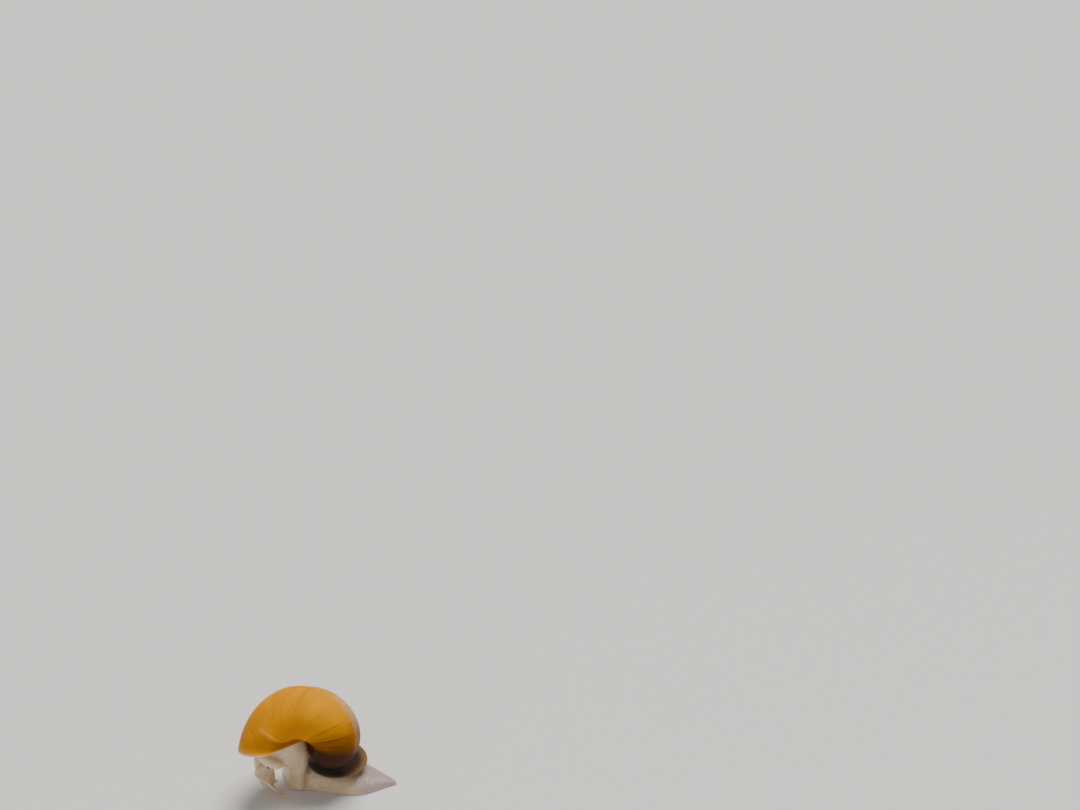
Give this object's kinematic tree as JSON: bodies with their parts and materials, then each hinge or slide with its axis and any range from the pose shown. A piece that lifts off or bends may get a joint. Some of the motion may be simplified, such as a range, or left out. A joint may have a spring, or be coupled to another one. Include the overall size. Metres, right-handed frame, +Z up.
{
  "type": "apple snail",
  "caption": "Golden apple snail crawling on its flat foot, its coiled shell carried over its back and its horny lid under the shell, as a still life-size model.",
  "frame": {"origin": "on the floor, under the centre of the bounding box", "axes": "+Z up, -Y the way the snail faces, +X the snail's left side"},
  "size_m": [0.0386, 0.0564, 0.0431],
  "materials": {
    "golden_shell": "satin",
    "snail_flesh": "moist",
    "horn": "satin",
    "eye": "gloss"
  },
  "bodies": {
    "root": {"eye_left": "eye", "eye_right": "eye", "eye_stalk_left": "snail_flesh", "eye_stalk_right": "snail_flesh", "foot": "snail_flesh", "foot_tail": "snail_flesh", "head": "snail_flesh", "mantle": "snail_flesh", "neck": "snail_flesh", "neck_lobe_right": "snail_flesh", "operculum": "horn", "palp_left": "snail_flesh", "palp_right": "snail_flesh", "shell": "golden_shell", "siphon": "snail_flesh", "snout": "snail_flesh", "tentacle_left_middle": "snail_flesh", "tentacle_left_root": "snail_flesh", "tentacle_left_tip": "snail_flesh", "tentacle_right_middle": "snail_flesh", "tentacle_right_root": "snail_flesh", "tentacle_right_tip": "snail_flesh"}
  },
  "joints": []
}
